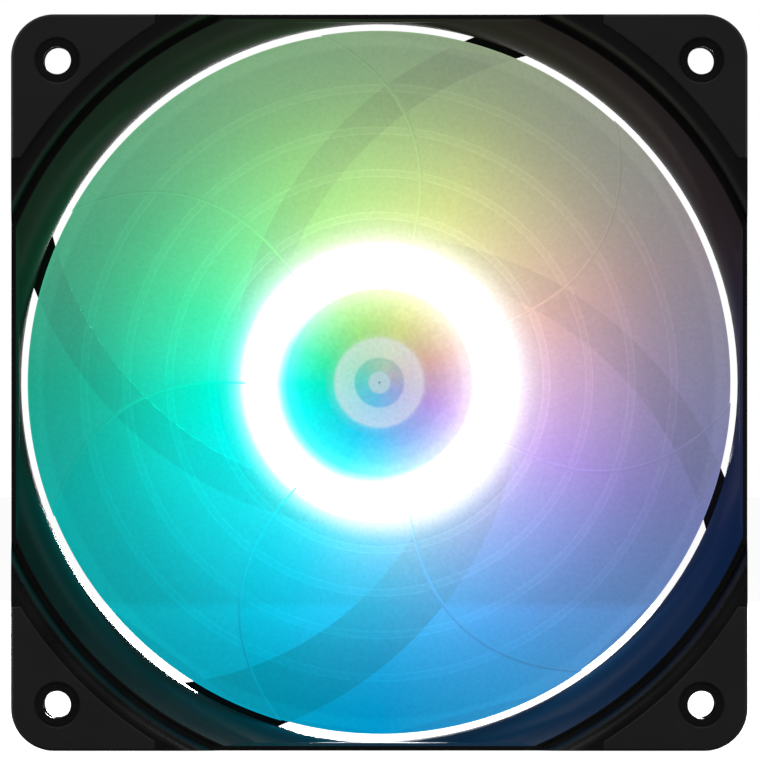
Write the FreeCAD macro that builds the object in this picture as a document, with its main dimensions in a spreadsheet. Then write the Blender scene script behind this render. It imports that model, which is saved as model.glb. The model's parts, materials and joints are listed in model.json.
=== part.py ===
import FreeCAD, Part
import math
import os
import re

import Sketcher
from FreeCAD import Placement, Rotation, Vector

# A 120 mm computer case fan, as separate pieces.
#
# Every piece is drawn with the spin axis along its own Z, the rear mounting plane at Z = 0 and the
# air inlet at the top. UPRIGHT then stands the fan on its lower edge: the inlet faces -Y and the
# origin is on the spin axis, in the plane of the rear screw bosses.

SIZES = {
    # housing
    "frame_side": 120.0,
    "frame_depth": 24.6,
    "frame_corner": 7.0,
    "flange_thick": 4.0,
    "throat_radius": 58.65,
    "throat_chamfer": 0.6,
    "tube_radius": 60.6,
    "bell_radius": 9.5,
    "bell_drop": 13.1,
    "lip_radius": 64.4,
    "lip_width": 0.35,
    "lip_drop": 4.3,
    "seam_width": 0.3,
    "seam_depth": 0.5,
    "ledge_width": 0.25,
    "roll_radius": 2.6,
    "roll_foot": 65.8,
    "side_wall_inner": 58.75,
    "side_wall_half": 26.5,
    "side_wall_foot": 13.6,
    "gusset_thick": 1.6,
    "gusset_reach": 66.5,
    # corner pads and screw bosses
    "hole_spacing": 105.0,
    "hole_radius": 2.25,
    "boss_radius": 3.45,
    "pad_opening": 3.5,
    "pad_leg": 23.6,
    "pad_arc": 68.8,
    "pad_recess": 1.4,
    "pad_proud": 0.2,
    "pad_chamfer": 0.35,
    # struts, motor base and cable way
    "strut_centre": 38.1,
    "strut_arc": 59.6,
    "strut_width": 5.5,
    "strut_depth": 3.6,
    "strut_turn": -2.4,
    "strut_root": 22.8,
    "strut_end": 59.5,
    "cable_strut_near": 51.1,
    "cable_strut_far": 61.7,
    "channel_depth": 2.5,
    "channel_near": 52.7,
    "channel_far": 58.9,
    "channel_root": 21.0,
    "exit_across": 27.6,
    "base_radius": 23.4,
    "base_wall": 1.4,
    "base_floor": 2.0,
    "base_height": 4.4,
    "seat_radius": 5.4,
    "seat_height": 6.8,
    "label_recess": 0.35,
    "label_radius": 19.2,
    "label_thick": 0.15,
    # bearing and shaft
    "tube_outer": 4.3,
    "tube_inner": 3.5,
    "tube_top": 17.2,
    "shaft_radius": 1.5,
    "shaft_bottom": 3.1,
    "shaft_groove": 4.05,
    "groove_width": 0.5,
    "groove_radius": 1.05,
    "bearing_gap": 0.03,
    "bearing_bottom": 5.2,
    "bearing_top": 16.4,
    "seal_thick": 0.6,
    "slinger_radius": 2.6,
    "slinger_bottom": 17.5,
    "slinger_thick": 0.6,
    # stator
    "stator_bottom": 9.6,
    "stator_top": 15.6,
    "stator_radius": 13.0,
    "stator_shoe": 11.5,
    "stator_ring": 7.0,
    "tooth_width": 4.0,
    "shoe_angle": 36.0,
    "insulator_thick": 0.8,
    "insulator_wall": 2.0,
    "insulator_side": 0.4,
    "coil_start": 7.5,
    "coil_length": 2.9,
    "coil_thick": 1.9,
    # circuit board and lamps
    "board_radius": 21.6,
    "board_hole": 5.6,
    "board_thick": 1.2,
    "lamp_circle": 18.9,
    "lamp_side": 3.5,
    "lamp_height": 1.35,
    "lamp_cup": 1.3,
    "lamp_cup_depth": 0.45,
    "driver_length": 3.9,
    "driver_width": 4.9,
    "driver_height": 1.5,
    "sensor_length": 1.6,
    "sensor_width": 2.9,
    "sensor_height": 1.1,
    "capacitor_length": 1.25,
    "capacitor_width": 2.0,
    "capacitor_height": 1.2,
    "resistor_length": 0.8,
    "resistor_width": 1.6,
    "resistor_height": 0.5,
    "diode_length": 1.6,
    "diode_width": 2.7,
    "diode_height": 1.1,
    "land_length": 1.1,
    "land_width": 1.5,
    "land_height": 0.08,
    # rotor
    "hub_radius": 22.0,
    "hub_front": 23.4,
    "hub_roll": 2.5,
    "hub_rear": 5.3,
    "hub_wall": 1.3,
    "hub_ceiling": 21.9,
    "spigot_radius": 17.2,
    "spigot_bottom": 9.0,
    "yoke_radius": 16.0,
    "yoke_wall": 0.9,
    "yoke_bottom": 7.6,
    "magnet_inner": 13.6,
    "magnet_bottom": 8.0,
    "magnet_top": 19.4,
    "bushing_radius": 3.2,
    "bushing_flange": 4.4,
    "bushing_bottom": 18.5,
    "dish_radius": 7.4,
    "dish_depth": 0.3,
    "pip_ring": 4.0,
    "pip_radius": 1.8,
    # blades
    "blade_tip": 57.4,
    "blade_root": 20.9,
    "blade_span": 52.4,
    "blade_sweep": 22.0,
    "blade_back_sweep": 5.0,
    "blade_front": 21.6,
    "blade_front_drop": 1.0,
    "blade_height_root": 15.6,
    "blade_height_tip": 12.4,
    "blade_camber": 0.35,
    "blade_thick_root": 1.9,
    "blade_thick_tip": 1.4,
    "rib_first": 27.3,
    "rib_pitch": 6.95,
    "rib_width": 1.0,
    "rib_rise": 0.25,
}

BLADES = 7
RIBS = 4
POLES = 4
LAMPS = 8
SOLDER_LANDS = 5
UPRIGHT = Placement(Vector(), Rotation(Vector(1, 0, 0), 90))

doc = FreeCAD.newDocument("CaseFan")
sheet = doc.addObject("Spreadsheet::Sheet", "Sizes")
for row, (alias, number) in enumerate(SIZES.items(), start=1):
    sheet.set(f"A{row}", alias)
    sheet.set(f"B{row}", str(number))
    sheet.setAlias(f"B{row}", alias)
doc.recompute()

pieces = []


# ---------------------------------------------------------------- sizes and sketches


def linked(text):
    """The expression with every size in it named as a cell of the sheet."""
    return re.sub(r"[a-z_]+", lambda m: "Sizes." + m[0] if m[0] in SIZES else m[0], text)


def number(text):
    """What an expression comes to, as a plain number."""
    return float(sheet.evalExpression(linked(text)))


def origin_part(body, role):
    return next(f for f in body.Origin.OriginFeatures if f.Role == role)


def new_body(label, placement=UPRIGHT):
    body = doc.addObject("PartDesign::Body", label)
    body.Label = label
    body.Placement = placement
    return body


def new_sketch(body, name, plane="XY_Plane", lift="0", turn=None):
    """A sketch on an origin plane, lifted along its normal and turned about its own Y or Z."""
    sketch = body.newObject("Sketcher::SketchObject", name)
    sketch.AttachmentSupport = [(origin_part(body, plane), "")]
    sketch.MapMode = "FlatFace"
    if turn is not None:
        sketch.AttachmentOffset = Placement(Vector(), turn)
    sketch.setExpression("AttachmentOffset.Base.z", linked(lift))
    return sketch


def pin(sketch, geometry, end, across, up):
    """Ties one point of a sketch to two expressions."""
    for kind, text, axis in (("DistanceX", across, -2), ("DistanceY", up, -1)):
        if text == "0":
            sketch.addConstraint(Sketcher.Constraint("PointOnObject", geometry, end, axis))
            continue
        index = sketch.addConstraint(
            Sketcher.Constraint(kind, -1, 1, geometry, end, number(text))
        )
        sketch.setExpression(f"Constraints[{index}]", linked(text))


def circle(sketch, radius, across="0", up="0"):
    centre = Vector(number(across), number(up), 0)
    geometry = sketch.addGeometry(Part.Circle(centre, Vector(0, 0, 1), number(radius)))
    pin(sketch, geometry, 3, across, up)
    index = sketch.addConstraint(Sketcher.Constraint("Radius", geometry, number(radius)))
    sketch.setExpression(f"Constraints[{index}]", linked(radius))
    return geometry


def arc_between(start, end, radius):
    """The short arc from start to end. A positive radius turns left, a negative one right."""
    chord = end - start
    reach = math.sqrt(max(radius**2 - chord.Length**2 / 4, 0))
    side = Vector(-chord.y, chord.x, 0).normalize()
    centre = (start + end) / 2 + side * math.copysign(reach, radius)
    first, last = (start, end) if radius > 0 else (end, start)
    angles = [math.atan2(p.y - centre.y, p.x - centre.x) for p in (first, last)]
    whole = Part.Circle(centre, Vector(0, 0, 1), abs(radius))
    return Part.ArcOfCircle(whole, angles[0], angles[1])


def outline(sketch, corners):
    """A closed outline through corners (across, up). A third item is the radius of the arc that
    leaves the corner: positive turns left, negative right. Every corner is tied to the sheet."""
    points = [Vector(number(c[0]), number(c[1]), 0) for c in corners]
    runs = []
    for index, corner in enumerate(corners):
        start, end = points[index], points[(index + 1) % len(points)]
        if len(corner) == 2:
            runs.append((sketch.addGeometry(Part.LineSegment(start, end)), 1, 2))
            continue
        bend = number(corner[2])
        run = sketch.addGeometry(arc_between(start, end, bend))
        runs.append((run, 1, 2) if bend > 0 else (run, 2, 1))
    for index, corner in enumerate(corners):
        run, head, tail = runs[index]
        following, next_head, _ = runs[(index + 1) % len(runs)]
        sketch.addConstraint(
            Sketcher.Constraint("Coincident", run, tail, following, next_head)
        )
        pin(sketch, run, head, corner[0], corner[1])
        if len(corner) == 3:
            bend = abs(number(corner[2]))
            place = sketch.addConstraint(Sketcher.Constraint("Radius", run, bend))
            sketch.setExpression(f"Constraints[{place}]", linked(f"abs({corner[2]})"))


def rectangle(sketch, left, right, low, high):
    outline(sketch, [(left, low), (right, low), (right, high), (left, high)])


def rounded(sketch, half_across, half_up, radius, across="0", up="0"):
    """A rounded rectangle about a centre."""
    left, right = f"{across} - {half_across}", f"{across} + {half_across}"
    low, high = f"{up} - {half_up}", f"{up} + {half_up}"
    outline(
        sketch,
        [
            (f"{left} + {radius}", low),
            (f"{right} - {radius}", low, radius),
            (right, f"{low} + {radius}"),
            (right, f"{high} - {radius}", radius),
            (f"{right} - {radius}", high),
            (f"{left} + {radius}", high, radius),
            (left, f"{high} - {radius}"),
            (left, f"{low} + {radius}", radius),
        ],
    )


# ---------------------------------------------------------------- features


def settled(body, feature, volume_before, cut):
    """Recomputes, and stops if the feature changed nothing or went the wrong way."""
    doc.recompute()
    change = body.Shape.Volume - volume_before
    if (change >= -1e-6) if cut else (change <= 1e-6):
        raise RuntimeError(f"{body.Label}: {feature.Name} changed the volume by {change:.3f}")
    return feature


def volume_of(body):
    return body.Shape.Volume if body.Tip is not None else 0.0


def turned(body, name, corners, cut=False, turn=None):
    """Revolves an outline of (radius, height) corners about the spin axis."""
    before = volume_of(body)
    sketch = new_sketch(body, name + "_profile", "XZ_Plane", turn=turn)
    outline(sketch, corners)
    kind = "PartDesign::Groove" if cut else "PartDesign::Revolution"
    feature = body.newObject(kind, name)
    feature.Profile = sketch
    feature.ReferenceAxis = (sketch, ["V_Axis"])
    feature.Angle = 360
    return settled(body, feature, before, cut)


def raised(body, name, draw, bottom, height, cut=False, plane="XY_Plane", turn=None):
    """Extrudes what draw(sketch) draws, from bottom upwards, as a pad or a pocket."""
    before = volume_of(body)
    sketch = new_sketch(body, name + "_profile", plane, bottom, turn)
    draw(sketch)
    feature = body.newObject("PartDesign::Pocket" if cut else "PartDesign::Pad", name)
    feature.Profile = sketch
    feature.Reversed = cut
    feature.setExpression("Length", linked(height))
    return settled(body, feature, before, cut)


def repeated(body, name, features, count, angle=360):
    """Repeats features evenly about the spin axis."""
    pattern = body.newObject("PartDesign::PolarPattern", name)
    pattern.Originals = features
    pattern.Axis = (origin_part(body, "Z_Axis"), [""])
    pattern.Angle = angle
    pattern.Occurrences = count
    body.Tip = pattern
    doc.recompute()
    return pattern


def edges_in_plane(shape, height):
    """Names of the edges that lie wholly in the plane at a height, in the body's own frame."""
    names = []
    for index, edge in enumerate(shape.Edges, start=1):
        box = edge.BoundBox
        if abs(box.ZMin - height) < 1e-4 and abs(box.ZMax - height) < 1e-4:
            names.append(f"Edge{index}")
    return names


def chamfered(body, name, base, height, size):
    """Chamfers every edge of a feature that lies in the plane at a height."""
    before = volume_of(body)
    feature = body.newObject("PartDesign::Chamfer", name)
    feature.Base = (base, edges_in_plane(base.Shape, number(height)))
    feature.setExpression("Size", linked(size))
    return settled(body, feature, before, True)


def keep(piece):
    pieces.append(piece)
    return piece


def ring(label, inner, outer, bottom, top):
    """A plain turned ring, or a disc where inner is 0."""
    body = new_body(label)
    turned(body, label + "_ring", [(inner, bottom), (outer, bottom), (outer, top), (inner, top)])
    return keep(body)


# ---------------------------------------------------------------- housing


def duct_outline():
    """The air way: a straight throat, a bell-mouth inlet, a fine seam and a rolled edge."""
    top = "frame_depth"
    lip = "frame_depth - lip_drop"
    seam = "lip_radius + lip_width"
    ledge = "lip_radius + lip_width + seam_width"
    wall = "lip_radius + lip_width + seam_width + ledge_width"
    return [
        ("0", "-1"),
        ("throat_radius + throat_chamfer", "-1"),
        ("throat_radius + throat_chamfer", "0"),
        ("throat_radius", "throat_chamfer"),
        ("throat_radius", "frame_depth - bell_drop", "-bell_radius"),
        ("lip_radius", lip),
        (seam, lip),
        (seam, f"{lip} - seam_depth"),
        (ledge, f"{lip} - seam_depth"),
        (ledge, lip),
        (wall, lip),
        ("roll_foot", f"{top} - roll_radius", "-roll_radius"),
        ("roll_foot + roll_radius", top),
        ("roll_foot + roll_radius", f"{top} + 1"),
        ("0", f"{top} + 1"),
    ]


def open_corner_outline():
    """The space outside the duct, between the front and rear corner flanges."""
    top = "frame_depth"
    return [
        ("tube_radius", "flange_thick"),
        ("frame_side", "flange_thick"),
        ("frame_side", f"{top} - flange_thick"),
        ("pad_arc + 1", f"{top} - flange_thick"),
        ("lip_radius + 3.2", f"{top} - lip_drop - 1.8"),
        ("lip_radius + 0.6", f"{top} - lip_drop - 1.8"),
        ("tube_radius + 1.8", f"{top} - lip_drop - 3.3"),
        ("tube_radius", f"{top} - lip_drop - 6.7"),
    ]


def side_wall(body):
    """The flat wall that closes the bell mouth where it would run out of the housing's side."""
    before = volume_of(body)
    sketch = new_sketch(body, "side_wall_profile", "XZ_Plane")
    top = "frame_depth - lip_drop"
    outer = "frame_side / 2"
    outline(
        sketch,
        [
            ("side_wall_inner", "frame_depth - side_wall_foot"),
            (outer, "frame_depth - side_wall_foot"),
            (outer, top),
            ("side_wall_inner + 0.5", top),
            ("side_wall_inner", f"{top} - 0.7"),
        ],
    )
    wall = body.newObject("PartDesign::Pad", "side_wall")
    wall.Profile = sketch
    wall.SideType = "Symmetric"
    wall.setExpression("Length", linked("2 * side_wall_half"))
    settled(body, wall, before, False)
    return repeated(body, "side_walls", [wall], 4)


def corner_outline(sketch):
    """The corner of the flange outside the pad's arc, with the housing's round corner."""
    half = "frame_side / 2"
    foot = "frame_side / 2 - pad_leg"
    meets = "sqrt(pad_arc ^ 2 - (frame_side / 2 - pad_leg) ^ 2)"
    outline(
        sketch,
        [
            (half, foot),
            (half, f"{half} - frame_corner", "frame_corner"),
            (f"{half} - frame_corner", half),
            (foot, half),
            (foot, meets, "-pad_arc"),
            (meets, foot),
        ],
    )


def corner_features(body):
    """Pad recesses, screw bosses and screw holes, repeated at the four corners."""
    top = "frame_depth"
    at = "hole_spacing / 2"
    made = [
        raised(body, "front_recess", corner_outline, f"{top} - pad_recess", "pad_recess + 1", True),
        raised(body, "rear_recess", corner_outline, "-1", "pad_recess + 1", True),
        raised(
            body,
            "front_boss",
            lambda s: circle(s, "boss_radius", at, at),
            f"{top} - pad_recess - 0.5",
            "pad_recess + 0.5",
        ),
        raised(
            body,
            "rear_boss",
            lambda s: circle(s, "boss_radius", at, at),
            "0",
            "pad_recess + 0.5",
        ),
        raised(
            body,
            "screw_hole",
            lambda s: circle(s, "hole_radius", at, at),
            "-1",
            f"{top} + 2",
            True,
        ),
    ]
    return repeated(body, "corners", made, 4)


def gusset(body):
    """A web behind each front flange, from the duct to the corner."""
    before = volume_of(body)
    sketch = new_sketch(
        body, "gusset_profile", "XZ_Plane", turn=Rotation(Vector(0, 1, 0), 45)
    )
    top = "frame_depth"
    outline(
        sketch,
        [
            ("tube_radius - 0.6", "flange_thick - 0.5"),
            ("gusset_reach", "flange_thick - 0.5"),
            ("gusset_reach", f"{top} - lip_drop - 1.5"),
            ("tube_radius + 2.2", f"{top} - lip_drop - 3.1"),
            ("tube_radius - 0.6", f"{top} - lip_drop - 6.7"),
        ],
    )
    web = body.newObject("PartDesign::Pad", "gusset")
    web.Profile = sketch
    web.SideType = "Symmetric"
    web.setExpression("Length", linked("gusset_thick"))
    settled(body, web, before, False)
    return repeated(body, "gussets", [web], 4)


def motor_base(body):
    """The cup behind the rotor, with the bearing seat and a shallow rear recess for a label."""
    inner = "base_radius - base_wall"
    return turned(
        body,
        "motor_base",
        [
            ("0", "label_recess"),
            ("label_radius + 0.2", "label_recess"),
            ("label_radius + 0.2", "0"),
            ("base_radius", "0"),
            ("base_radius", "base_height"),
            (inner, "base_height"),
            (inner, "base_floor"),
            ("seat_radius", "base_floor"),
            ("seat_radius", "seat_height"),
            ("tube_outer", "seat_height"),
            ("tube_outer", "base_floor"),
            ("0", "base_floor"),
        ],
    )


def crossing(arc_radius, end_radius):
    """Where an arc about (strut_centre, 0) crosses a circle about the origin, above the X axis."""
    across = (
        f"((({end_radius}) ^ 2 - ({arc_radius}) ^ 2 + strut_centre ^ 2)"
        " / (2 * strut_centre))"
    )
    return across, f"sqrt(({end_radius}) ^ 2 - {across} ^ 2)"


def curved_bar(sketch, near, far, root, end):
    """A bar between two arcs about (strut_centre, 0), from the root radius to the end radius."""
    root_near, end_near = crossing(near, root), crossing(near, end)
    root_far, end_far = crossing(far, root), crossing(far, end)
    outline(
        sketch,
        [
            (root_near[0], root_near[1], root),
            (root_far[0], root_far[1], f"-({far})"),
            (end_far[0], end_far[1]),
            (end_near[0], end_near[1], near),
        ],
    )


def strut_bar(sketch, near, far):
    """A strut runs off the motor base along a tangent, so its outer edge starts at the nearest
    point of its arc to the axis, with a short taper into the base."""
    root_near, end_near = crossing(near, "strut_root"), crossing(near, "strut_end")
    end_far = crossing(far, "strut_end")
    outline(
        sketch,
        [
            (root_near[0], root_near[1], "strut_root"),
            ("-strut_root * cos(18 deg)", "-strut_root * sin(18 deg)"),
            (f"strut_centre - ({far})", "0", f"-({far})"),
            (end_far[0], end_far[1]),
            (end_near[0], end_near[1], near),
        ],
    )


def struts(body):
    """Four curved struts. The lower left one is wider and carries the cable way."""
    near = "strut_arc - strut_width / 2"
    far = "strut_arc + strut_width / 2"
    lower_right = Rotation(Vector(0, 0, 1), number("strut_turn + 270"))
    lower_left = Rotation(Vector(0, 0, 1), number("strut_turn + 180"))
    narrow = raised(
        body,
        "strut",
        lambda s: strut_bar(s, near, far),
        "0",
        "strut_depth",
        turn=lower_right,
    )
    repeated(body, "narrow_struts", [narrow], 3, angle=180)
    raised(
        body,
        "cable_strut",
        lambda s: strut_bar(s, "cable_strut_near", "cable_strut_far"),
        "0",
        "strut_depth",
        turn=lower_left,
    )
    raised(
        body,
        "cable_channel",
        lambda s: curved_bar(s, "channel_near", "channel_far", "channel_root", "throat_radius"),
        "0",
        "channel_depth",
        cut=True,
        turn=lower_left,
    )


def cable_exit(body):
    """The cable way goes on through the rear flange to the housing's lower side."""
    left, right = "-exit_across - 3.4", "-exit_across + 3.8"
    raised(
        body,
        "cable_exit",
        lambda s: rectangle(s, left, right, "-frame_side / 2 - 1", "-49.5"),
        "0",
        "channel_depth",
        cut=True,
    )
    raised(
        body,
        "cable_hook",
        lambda s: rectangle(s, "-exit_across - 3.6", "-exit_across + 1.4", "-58.4", "-55.8"),
        "0",
        "0.8",
    )


def housing():
    body = new_body("frame")
    half = "frame_side / 2"
    raised(
        body, "block", lambda s: rounded(s, half, half, "frame_corner"), "0", "frame_depth"
    )
    turned(body, "duct", duct_outline(), cut=True)
    side_wall(body)
    turned(body, "open_corners", open_corner_outline(), cut=True)
    gusset(body)
    corner_features(body)
    motor_base(body)
    struts(body)
    cable_exit(body)
    return keep(body)


def corner_pad(label, placement):
    """A rubber pad that fills a corner recess and stands slightly proud of the housing."""
    body = new_body(label, placement)
    thick = "pad_recess + pad_proud"
    at = "hole_spacing / 2"

    def draw(sketch):
        corner_outline(sketch)
        circle(sketch, "pad_opening", at, at)

    sheet_of_rubber = raised(body, label + "_sheet", draw, "0", thick)
    chamfered(body, label + "_bevel", sheet_of_rubber, thick, "pad_chamfer")
    return keep(body)


def corner_pads():
    flip = Rotation(Vector(1, 0, 0), 180)
    for corner in range(4):
        quarter = Rotation(Vector(0, 0, 1), 90 * corner)
        front = Placement(Vector(0, 0, number("frame_depth - pad_recess")), quarter)
        rear = Placement(Vector(0, 0, number("pad_recess")), quarter.multiply(flip))
        corner_pad(f"front_corner_pad_{corner + 1}", UPRIGHT.multiply(front))
        corner_pad(f"rear_corner_pad_{corner + 1}", UPRIGHT.multiply(rear))


# ---------------------------------------------------------------- bearing and shaft


def bearing_parts():
    ring("bearing_tube", "tube_inner", "tube_outer", "base_floor", "tube_top")
    ring(
        "sleeve_bearing",
        "shaft_radius + bearing_gap",
        "tube_inner",
        "bearing_bottom",
        "bearing_top",
    )
    ring("thrust_pad", "0", "tube_inner", "base_floor", "shaft_bottom - 0.05")
    ring(
        "oil_seal",
        "shaft_radius + 0.25",
        "tube_inner",
        "bearing_top + 0.1",
        "bearing_top + 0.1 + seal_thick",
    )
    ring(
        "oil_slinger",
        "shaft_radius",
        "slinger_radius",
        "slinger_bottom",
        "slinger_bottom + slinger_thick",
    )


def shaft():
    body = new_body("shaft")
    groove_top = "shaft_groove + groove_width"
    turned(
        body,
        "shaft_rod",
        [
            ("0", "shaft_bottom"),
            ("shaft_radius - 0.4", "shaft_bottom"),
            ("shaft_radius", "shaft_bottom + 0.4"),
            ("shaft_radius", "shaft_groove"),
            ("groove_radius", "shaft_groove"),
            ("groove_radius", groove_top),
            ("shaft_radius", groove_top),
            ("shaft_radius", "hub_ceiling"),
            ("0", "hub_ceiling"),
        ],
    )
    return keep(body)


def retaining_clip():
    """A slotted washer that snaps into the shaft's groove."""
    body = new_body("retaining_clip")
    turned(
        body,
        "clip_washer",
        [
            ("groove_radius", "shaft_groove + 0.05"),
            ("slinger_radius + 0.2", "shaft_groove + 0.05"),
            ("slinger_radius + 0.2", "shaft_groove + groove_width - 0.05"),
            ("groove_radius", "shaft_groove + groove_width - 0.05"),
        ],
    )
    raised(
        body,
        "clip_slot",
        lambda s: rectangle(s, "0", "slinger_radius + 1", "-0.45", "0.45"),
        "shaft_groove - 0.5",
        "groove_width + 1",
        cut=True,
    )
    return keep(body)


# ---------------------------------------------------------------- stator


def on_circle(radius, angle):
    """The (across, up) expressions of a point at a radius and an angle."""
    return f"({radius}) * cos({angle})", f"({radius}) * sin({angle})"


def pole_piece(sketch, half_width, shoe_inner, shoe_outer, angle):
    """One pole: a straight tooth that ends in a curved shoe, about the X axis."""
    out_x, out_y = on_circle(shoe_outer, angle)
    in_x, in_y = on_circle(shoe_inner, angle)
    throat = f"sqrt(({shoe_inner}) ^ 2 - ({half_width}) ^ 2)"
    root = "tube_outer + 1.2"
    outline(
        sketch,
        [
            (root, f"-({half_width})"),
            (throat, f"-({half_width})", f"-({shoe_inner})"),
            (in_x, f"-({in_y})"),
            (out_x, f"-({out_y})", shoe_outer),
            (out_x, out_y),
            (in_x, in_y, f"-({shoe_inner})"),
            (throat, half_width),
            (root, half_width),
        ],
    )


def shoe_wall(sketch, inner, outer, angle):
    """A curved wall about the X axis."""
    in_x, in_y = on_circle(inner, angle)
    out_x, out_y = on_circle(outer, angle)
    outline(
        sketch,
        [
            (in_x, f"-({in_y})"),
            (out_x, f"-({out_y})", outer),
            (out_x, out_y),
            (in_x, in_y, f"-({inner})"),
        ],
    )


def stator_core():
    """The stack of steel laminations: a ring with four poles."""
    body = new_body("stator_core")
    bottom, height = "stator_bottom", "stator_top - stator_bottom"

    def rings(sketch):
        circle(sketch, "stator_ring")
        circle(sketch, "tube_outer")

    raised(body, "core_ring", rings, bottom, height)
    pole = raised(
        body,
        "core_pole",
        lambda s: pole_piece(
            s, "tooth_width / 2", "stator_shoe", "stator_radius", "shoe_angle * 1 deg"
        ),
        bottom,
        height,
    )
    repeated(body, "core_poles", [pole], POLES)
    return keep(body)


def insulator(label, bottom, wall_bottom):
    """The plastic former on one end of the stack, with walls that hold the windings."""
    body = new_body(label)

    def rings(sketch):
        circle(sketch, "stator_ring + 0.4")
        circle(sketch, "tube_outer + 0.2")

    raised(body, label + "_ring", rings, bottom, "insulator_thick")
    arm = raised(
        body,
        label + "_arm",
        lambda s: pole_piece(
            s,
            "tooth_width / 2 + insulator_side",
            "stator_shoe - 0.1",
            "stator_radius - 0.3",
            "(shoe_angle - 2) * 1 deg",
        ),
        bottom,
        "insulator_thick",
    )
    wall = raised(
        body,
        label + "_wall",
        lambda s: shoe_wall(s, "stator_shoe - 0.1", "(stator_shoe + 0.7)", "26 deg"),
        wall_bottom,
        "insulator_thick + insulator_wall",
    )
    repeated(body, label + "_poles", [arm, wall], POLES)
    return keep(body)


def coil(label, angle):
    """One winding, as a rounded hollow block round its pole."""
    turn = Rotation(Vector(0, 0, 1), angle)
    body = new_body(label, UPRIGHT.multiply(Placement(Vector(), turn)))
    middle = "(stator_bottom + stator_top) / 2"
    half_across = "(tooth_width / 2 + insulator_side)"
    half_up = "((stator_top - stator_bottom) / 2 + insulator_thick)"

    def draw(sketch):
        rounded(
            sketch,
            f"({half_across} + coil_thick)",
            f"({half_up} + coil_thick)",
            "coil_thick",
            up=middle,
        )
        rounded(sketch, half_across, half_up, "0.2", up=middle)

    raised(body, label + "_block", draw, "coil_start", "coil_length", plane="YZ_Plane")
    return keep(body)


def stator():
    stator_core()
    insulator("insulator_front", "stator_top", "stator_top")
    insulator(
        "insulator_rear",
        "stator_bottom - insulator_thick",
        "stator_bottom - insulator_thick - insulator_wall",
    )
    for pole in range(POLES):
        coil(f"coil_{pole + 1}", 360 / POLES * pole)


# ---------------------------------------------------------------- circuit board


def board_piece(label, kind, places):
    """Small blocks of one kind on the board, each at a (radius, angle in degrees)."""
    body = new_body(label)
    for index, (radius, angle) in enumerate(places, start=1):
        raised(
            body,
            f"{label}_{index}",
            lambda s: rectangle(
                s,
                f"{radius} - {kind}_length / 2",
                f"{radius} + {kind}_length / 2",
                f"-{kind}_width / 2",
                f"{kind}_width / 2",
            ),
            "base_floor + board_thick",
            f"{kind}_height",
            turn=Rotation(Vector(0, 0, 1), angle),
        )
    return keep(body)


def lamp(label, angle):
    """A square light-emitting diode package with a round cup in its face."""
    turn = Rotation(Vector(0, 0, 1), angle)
    body = new_body(label, UPRIGHT.multiply(Placement(Vector(), turn)))
    half = "lamp_side / 2"
    bottom = "base_floor + board_thick"
    raised(
        body,
        label + "_block",
        lambda s: rounded(s, half, half, "0.25", across="lamp_circle"),
        bottom,
        "lamp_height",
    )
    raised(
        body,
        label + "_cup",
        lambda s: circle(s, "lamp_cup", "lamp_circle", "0"),
        f"{bottom} + lamp_height - lamp_cup_depth",
        "lamp_cup_depth + 0.5",
        cut=True,
    )
    return keep(body)


def circuit_board():
    """A round board with a hole for the bearing seat and a notch for the cable."""
    body = new_body("circuit_board")
    top = "base_floor + board_thick"
    turned(
        body,
        "board_disc",
        [
            ("board_hole", "base_floor"),
            ("board_radius", "base_floor"),
            ("board_radius", top),
            ("board_hole", top),
        ],
    )
    raised(
        body,
        "board_notch",
        lambda s: rectangle(s, "lamp_circle + 0.6", "board_radius + 1", "-3.2", "3.2"),
        "base_floor - 1",
        "board_thick + 2",
        cut=True,
        turn=Rotation(Vector(0, 0, 1), 315),
    )
    return keep(body)


def electronics():
    circuit_board()
    board_piece("motor_driver_chip", "driver", [(13.9, 68)])
    board_piece("hall_sensor", "sensor", [(13.9, 22.5)])
    board_piece("chip_capacitors", "capacitor", [(10.0, 68), (12.6, 110), (12.6, 125)])
    board_piece("chip_resistors", "resistor", [(13.2, 158), (13.2, 168), (13.2, 178)])
    board_piece("protection_diode", "diode", [(12.4, 268)])
    board_piece("solder_lands", "land", [(16.2, 301 + 7 * i) for i in range(SOLDER_LANDS)])
    for index in range(LAMPS):
        lamp(f"lamp_{index + 1}", 360 / LAMPS * (index + 0.5))


# ---------------------------------------------------------------- rotor


def hub_body():
    """The plastic cup that carries the blades, with a ring inside that grips the yoke."""
    body = new_body("hub_moulding", Placement())
    front, dish = "hub_front", "hub_front - dish_depth"
    inner = "hub_radius - hub_wall"
    turned(
        body,
        "hub_cup",
        [
            ("0", f"{dish} + 0.05"),
            ("pip_radius", f"{dish} + 0.05"),
            ("pip_radius", f"{dish} - 0.3"),
            ("pip_ring", f"{dish} - 0.3"),
            ("pip_ring", dish),
            ("dish_radius - 0.3", dish),
            ("dish_radius", front),
            ("hub_radius - hub_roll", front, "-hub_roll"),
            ("hub_radius", f"{front} - hub_roll"),
            ("hub_radius", "hub_rear"),
            (inner, "hub_rear"),
            (inner, "hub_ceiling - 1.8"),
            (f"{inner} - 1.8", "hub_ceiling"),
            ("spigot_radius", "hub_ceiling"),
            ("spigot_radius", "spigot_bottom"),
            ("yoke_radius", "spigot_bottom"),
            ("yoke_radius", "hub_ceiling"),
            ("0", "hub_ceiling"),
        ],
    )
    return body


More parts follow.
